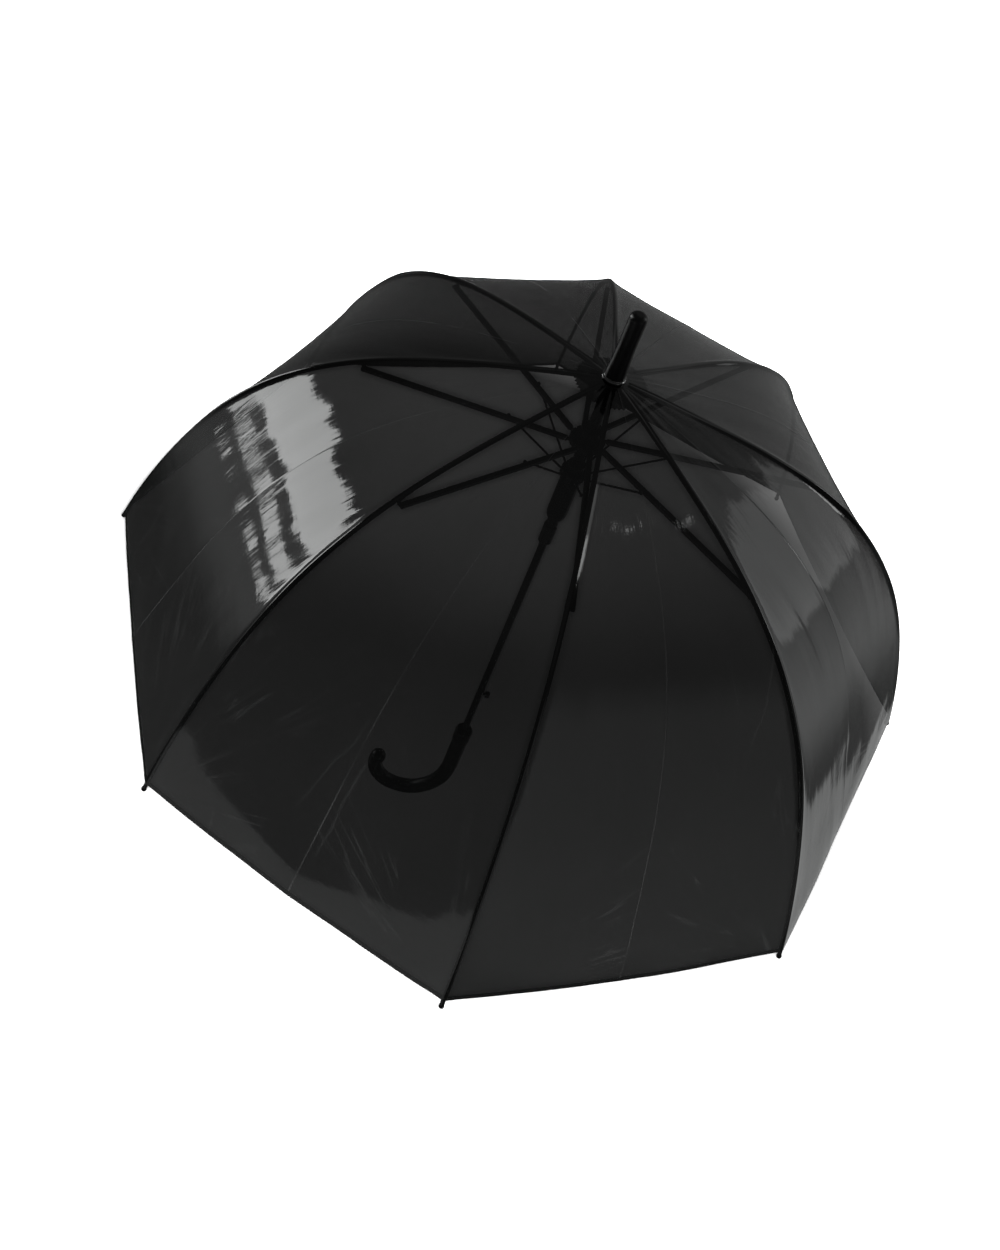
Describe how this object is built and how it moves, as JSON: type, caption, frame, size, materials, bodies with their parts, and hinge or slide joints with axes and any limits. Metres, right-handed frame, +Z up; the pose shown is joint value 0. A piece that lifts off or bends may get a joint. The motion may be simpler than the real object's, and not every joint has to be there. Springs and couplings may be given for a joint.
{
  "type": "dome stick umbrella",
  "caption": "Auto-open dome umbrella with a see-through tinted film canopy, curved ribs on sliding runners, a release button and a crook handle.",
  "frame": {"origin": "on the shaft axis at the middle of the straight grip of the handle", "axes": "+Z up the shaft to the ferrule, +X towards rib 0 and the open end of the crook, +Y by the right-hand rule"},
  "size_m": [0.867, 0.867, 0.8309],
  "materials": {
    "film": "clear gloss, smoke tint",
    "rosette_film": "satin, pinked edge",
    "rib_rod": "pultruded fibreglass, satin black",
    "tip_plastic": "gloss black",
    "frame_steel": "black electro-coat, semi gloss",
    "shaft_steel": "black coat, semi gloss",
    "spring_steel": "drawn wire",
    "black_plastic": "moulded, satin",
    "ferrule_plastic": "moulded, high gloss",
    "handle_plastic": "moulded, soft gloss"
  },
  "bodies": {
    "root": {"shaft_tube": "shaft_steel", "ferrule": "ferrule_plastic", "top_notch": "black_plastic", "notch_wire": "spring_steel", "rosette": "rosette_film", "button_spring": "spring_steel", "handle_collar": "handle_plastic", "handle_crook": "handle_plastic"},
    "upper_runner": {"upper_runner": "black_plastic"},
    "lower_runner": {"lower_runner": "black_plastic", "opening_spring": "spring_steel"},
    "release_button": {"release_button": "black_plastic"},
    "rib_0": {"rib_inner_0": "rib_rod"},
    "rib_outer_0": {"rib_outer_0": "rib_rod", "tip_cap_0": "tip_plastic", "canopy_sector_0": "film"},
    "stretcher_0": {"stretcher_0": "frame_steel"},
    "link_0": {"link_0": "frame_steel"},
    "rib_1": {"rib_inner_1": "rib_rod"},
    "rib_outer_1": {"rib_outer_1": "rib_rod", "tip_cap_1": "tip_plastic", "canopy_sector_1": "film"},
    "stretcher_1": {"stretcher_1": "frame_steel"},
    "link_1": {"link_1": "frame_steel"},
    "rib_2": {"rib_inner_2": "rib_rod"},
    "rib_outer_2": {"rib_outer_2": "rib_rod", "tip_cap_2": "tip_plastic", "canopy_sector_2": "film"},
    "stretcher_2": {"stretcher_2": "frame_steel"},
    "link_2": {"link_2": "frame_steel"},
    "rib_3": {"rib_inner_3": "rib_rod"},
    "rib_outer_3": {"rib_outer_3": "rib_rod", "tip_cap_3": "tip_plastic", "canopy_sector_3": "film"},
    "stretcher_3": {"stretcher_3": "frame_steel"},
    "link_3": {"link_3": "frame_steel"},
    "rib_4": {"rib_inner_4": "rib_rod"},
    "rib_outer_4": {"rib_outer_4": "rib_rod", "tip_cap_4": "tip_plastic", "canopy_sector_4": "film"},
    "stretcher_4": {"stretcher_4": "frame_steel"},
    "link_4": {"link_4": "frame_steel"},
    "rib_5": {"rib_inner_5": "rib_rod"},
    "rib_outer_5": {"rib_outer_5": "rib_rod", "tip_cap_5": "tip_plastic", "canopy_sector_5": "film"},
    "stretcher_5": {"stretcher_5": "frame_steel"},
    "link_5": {"link_5": "frame_steel"},
    "rib_6": {"rib_inner_6": "rib_rod"},
    "rib_outer_6": {"rib_outer_6": "rib_rod", "tip_cap_6": "tip_plastic", "canopy_sector_6": "film"},
    "stretcher_6": {"stretcher_6": "frame_steel"},
    "link_6": {"link_6": "frame_steel"},
    "rib_7": {"rib_inner_7": "rib_rod"},
    "rib_outer_7": {"rib_outer_7": "rib_rod", "tip_cap_7": "tip_plastic", "canopy_sector_7": "film"},
    "stretcher_7": {"stretcher_7": "frame_steel"},
    "link_7": {"link_7": "frame_steel"}
  },
  "joints": [
    {"name": "lower_runner_slide", "type": "slide", "parent": "root", "child": "lower_runner", "axis": [0, 0, -1], "range_m": [0, 0.30738], "stiffness_N_per_m": 60, "springref_m": -0.3, "deforming": ["opening_spring"]},
    {"name": "upper_runner_slide", "type": "slide", "parent": "root", "child": "upper_runner", "axis": [0, 0, -1], "range_m": [0, 0.33078]},
    {"name": "release_button_press", "type": "slide", "parent": "root", "child": "release_button", "axis": [1, 0, 0], "range_m": [0, 0.0022], "stiffness_N_per_m": 400, "springref_m": -0.003, "deforming": ["button_spring"]},
    {"name": "rib_0_fold", "type": "hinge", "parent": "root", "child": "rib_0", "pos_m": [0.013, 0, 0.635], "axis": [0, 1, 0], "range_deg": [0, 72.75]},
    {"name": "rib_0_flex", "type": "hinge", "parent": "rib_0", "child": "rib_outer_0", "pos_m": [0.2116, 0, 0.58134], "axis": [0, -1, 0], "range_deg": [0, 35.68], "deforming": ["canopy_sector_0"]},
    {"name": "stretcher_0_swing", "type": "hinge", "parent": "upper_runner", "child": "stretcher_0", "pos_m": [0.014, 0.0046, 0.564], "axis": [0, -1, 0], "range_deg": [0, 84.95]},
    {"name": "link_0_swing", "type": "hinge", "parent": "lower_runner", "child": "link_0", "pos_m": [0.01, 0.0008, 0.522], "axis": [0, -1, 0], "range_deg": [0, 50.74]},
    {"name": "rib_1_fold", "type": "hinge", "parent": "root", "child": "rib_1", "pos_m": [0.00919, 0.00919, 0.635], "axis": [-0.7071, 0.7071, 0], "range_deg": [0, 72.75]},
    {"name": "rib_1_flex", "type": "hinge", "parent": "rib_1", "child": "rib_outer_1", "pos_m": [0.14963, 0.14963, 0.58134], "axis": [0.7071, -0.7071, 0], "range_deg": [0, 35.68], "deforming": ["canopy_sector_1"]},
    {"name": "stretcher_1_swing", "type": "hinge", "parent": "upper_runner", "child": "stretcher_1", "pos_m": [0.00665, 0.01315, 0.564], "axis": [0.7071, -0.7071, 0], "range_deg": [0, 84.95]},
    {"name": "link_1_swing", "type": "hinge", "parent": "lower_runner", "child": "link_1", "pos_m": [0.00651, 0.00764, 0.522], "axis": [0.7071, -0.7071, 0], "range_deg": [0, 50.74]},
    {"name": "rib_2_fold", "type": "hinge", "parent": "root", "child": "rib_2", "pos_m": [0, 0.013, 0.635], "axis": [-1, 0, 0], "range_deg": [0, 72.75]},
    {"name": "rib_2_flex", "type": "hinge", "parent": "rib_2", "child": "rib_outer_2", "pos_m": [0, 0.2116, 0.58134], "axis": [1, 0, 0], "range_deg": [0, 35.68], "deforming": ["canopy_sector_2"]},
    {"name": "stretcher_2_swing", "type": "hinge", "parent": "upper_runner", "child": "stretcher_2", "pos_m": [-0.0046, 0.014, 0.564], "axis": [1, 0, 0], "range_deg": [0, 84.95]},
    {"name": "link_2_swing", "type": "hinge", "parent": "lower_runner", "child": "link_2", "pos_m": [-0.0008, 0.01, 0.522], "axis": [1, 0, 0], "range_deg": [0, 50.74]},
    {"name": "rib_3_fold", "type": "hinge", "parent": "root", "child": "rib_3", "pos_m": [-0.00919, 0.00919, 0.635], "axis": [-0.7071, -0.7071, 0], "range_deg": [0, 72.75]},
    {"name": "rib_3_flex", "type": "hinge", "parent": "rib_3", "child": "rib_outer_3", "pos_m": [-0.14963, 0.14963, 0.58134], "axis": [0.7071, 0.7071, 0], "range_deg": [0, 35.68], "deforming": ["canopy_sector_3"]},
    {"name": "stretcher_3_swing", "type": "hinge", "parent": "upper_runner", "child": "stretcher_3", "pos_m": [-0.01315, 0.00665, 0.564], "axis": [0.7071, 0.7071, 0], "range_deg": [0, 84.95]},
    {"name": "link_3_swing", "type": "hinge", "parent": "lower_runner", "child": "link_3", "pos_m": [-0.00764, 0.00651, 0.522], "axis": [0.7071, 0.7071, 0], "range_deg": [0, 50.74]},
    {"name": "rib_4_fold", "type": "hinge", "parent": "root", "child": "rib_4", "pos_m": [-0.013, 0, 0.635], "axis": [0, -1, 0], "range_deg": [0, 72.75]},
    {"name": "rib_4_flex", "type": "hinge", "parent": "rib_4", "child": "rib_outer_4", "pos_m": [-0.2116, 0, 0.58134], "axis": [0, 1, 0], "range_deg": [0, 35.68], "deforming": ["canopy_sector_4"]},
    {"name": "stretcher_4_swing", "type": "hinge", "parent": "upper_runner", "child": "stretcher_4", "pos_m": [-0.014, -0.0046, 0.564], "axis": [0, 1, 0], "range_deg": [0, 84.95]},
    {"name": "link_4_swing", "type": "hinge", "parent": "lower_runner", "child": "link_4", "pos_m": [-0.01, -0.0008, 0.522], "axis": [0, 1, 0], "range_deg": [0, 50.74]},
    {"name": "rib_5_fold", "type": "hinge", "parent": "root", "child": "rib_5", "pos_m": [-0.00919, -0.00919, 0.635], "axis": [0.7071, -0.7071, 0], "range_deg": [0, 72.75]},
    {"name": "rib_5_flex", "type": "hinge", "parent": "rib_5", "child": "rib_outer_5", "pos_m": [-0.14963, -0.14963, 0.58134], "axis": [-0.7071, 0.7071, 0], "range_deg": [0, 35.68], "deforming": ["canopy_sector_5"]},
    {"name": "stretcher_5_swing", "type": "hinge", "parent": "upper_runner", "child": "stretcher_5", "pos_m": [-0.00665, -0.01315, 0.564], "axis": [-0.7071, 0.7071, 0], "range_deg": [0, 84.95]},
    {"name": "link_5_swing", "type": "hinge", "parent": "lower_runner", "child": "link_5", "pos_m": [-0.00651, -0.00764, 0.522], "axis": [-0.7071, 0.7071, 0], "range_deg": [0, 50.74]},
    {"name": "rib_6_fold", "type": "hinge", "parent": "root", "child": "rib_6", "pos_m": [0, -0.013, 0.635], "axis": [1, 0, 0], "range_deg": [0, 72.75]},
    {"name": "rib_6_flex", "type": "hinge", "parent": "rib_6", "child": "rib_outer_6", "pos_m": [0, -0.2116, 0.58134], "axis": [-1, 0, 0], "range_deg": [0, 35.68], "deforming": ["canopy_sector_6"]},
    {"name": "stretcher_6_swing", "type": "hinge", "parent": "upper_runner", "child": "stretcher_6", "pos_m": [0.0046, -0.014, 0.564], "axis": [-1, 0, 0], "range_deg": [0, 84.95]},
    {"name": "link_6_swing", "type": "hinge", "parent": "lower_runner", "child": "link_6", "pos_m": [0.0008, -0.01, 0.522], "axis": [-1, 0, 0], "range_deg": [0, 50.74]},
    {"name": "rib_7_fold", "type": "hinge", "parent": "root", "child": "rib_7", "pos_m": [0.00919, -0.00919, 0.635], "axis": [0.7071, 0.7071, 0], "range_deg": [0, 72.75]},
    {"name": "rib_7_flex", "type": "hinge", "parent": "rib_7", "child": "rib_outer_7", "pos_m": [0.14963, -0.14963, 0.58134], "axis": [-0.7071, -0.7071, 0], "range_deg": [0, 35.68], "deforming": ["canopy_sector_7"]},
    {"name": "stretcher_7_swing", "type": "hinge", "parent": "upper_runner", "child": "stretcher_7", "pos_m": [0.01315, -0.00665, 0.564], "axis": [-0.7071, -0.7071, 0], "range_deg": [0, 84.95]},
    {"name": "link_7_swing", "type": "hinge", "parent": "lower_runner", "child": "link_7", "pos_m": [0.00764, -0.00651, 0.522], "axis": [-0.7071, -0.7071, 0], "range_deg": [0, 50.74]}
  ],
  "couplings": [
    {"joint": "upper_runner_slide", "follows": "lower_runner_slide", "ratio": 1.0761},
    {"joint": "rib_0_fold", "follows": "lower_runner_slide", "rad_per_m": 4.1305},
    {"joint": "rib_0_flex", "follows": "lower_runner_slide", "rad_per_m": 2.0256},
    {"joint": "stretcher_0_swing", "follows": "lower_runner_slide", "rad_per_m": 4.8229},
    {"joint": "link_0_swing", "follows": "lower_runner_slide", "rad_per_m": 2.8807},
    {"joint": "rib_1_fold", "follows": "lower_runner_slide", "rad_per_m": 4.1305},
    {"joint": "rib_1_flex", "follows": "lower_runner_slide", "rad_per_m": 2.0256},
    {"joint": "stretcher_1_swing", "follows": "lower_runner_slide", "rad_per_m": 4.8229},
    {"joint": "link_1_swing", "follows": "lower_runner_slide", "rad_per_m": 2.8807},
    {"joint": "rib_2_fold", "follows": "lower_runner_slide", "rad_per_m": 4.1305},
    {"joint": "rib_2_flex", "follows": "lower_runner_slide", "rad_per_m": 2.0256},
    {"joint": "stretcher_2_swing", "follows": "lower_runner_slide", "rad_per_m": 4.8229},
    {"joint": "link_2_swing", "follows": "lower_runner_slide", "rad_per_m": 2.8807},
    {"joint": "rib_3_fold", "follows": "lower_runner_slide", "rad_per_m": 4.1305},
    {"joint": "rib_3_flex", "follows": "lower_runner_slide", "rad_per_m": 2.0256},
    {"joint": "stretcher_3_swing", "follows": "lower_runner_slide", "rad_per_m": 4.8229},
    {"joint": "link_3_swing", "follows": "lower_runner_slide", "rad_per_m": 2.8807},
    {"joint": "rib_4_fold", "follows": "lower_runner_slide", "rad_per_m": 4.1305},
    {"joint": "rib_4_flex", "follows": "lower_runner_slide", "rad_per_m": 2.0256},
    {"joint": "stretcher_4_swing", "follows": "lower_runner_slide", "rad_per_m": 4.8229},
    {"joint": "link_4_swing", "follows": "lower_runner_slide", "rad_per_m": 2.8807},
    {"joint": "rib_5_fold", "follows": "lower_runner_slide", "rad_per_m": 4.1305},
    {"joint": "rib_5_flex", "follows": "lower_runner_slide", "rad_per_m": 2.0256},
    {"joint": "stretcher_5_swing", "follows": "lower_runner_slide", "rad_per_m": 4.8229},
    {"joint": "link_5_swing", "follows": "lower_runner_slide", "rad_per_m": 2.8807},
    {"joint": "rib_6_fold", "follows": "lower_runner_slide", "rad_per_m": 4.1305},
    {"joint": "rib_6_flex", "follows": "lower_runner_slide", "rad_per_m": 2.0256},
    {"joint": "stretcher_6_swing", "follows": "lower_runner_slide", "rad_per_m": 4.8229},
    {"joint": "link_6_swing", "follows": "lower_runner_slide", "rad_per_m": 2.8807},
    {"joint": "rib_7_fold", "follows": "lower_runner_slide", "rad_per_m": 4.1305},
    {"joint": "rib_7_flex", "follows": "lower_runner_slide", "rad_per_m": 2.0256},
    {"joint": "stretcher_7_swing", "follows": "lower_runner_slide", "rad_per_m": 4.8229},
    {"joint": "link_7_swing", "follows": "lower_runner_slide", "rad_per_m": 2.8807}
  ]
}
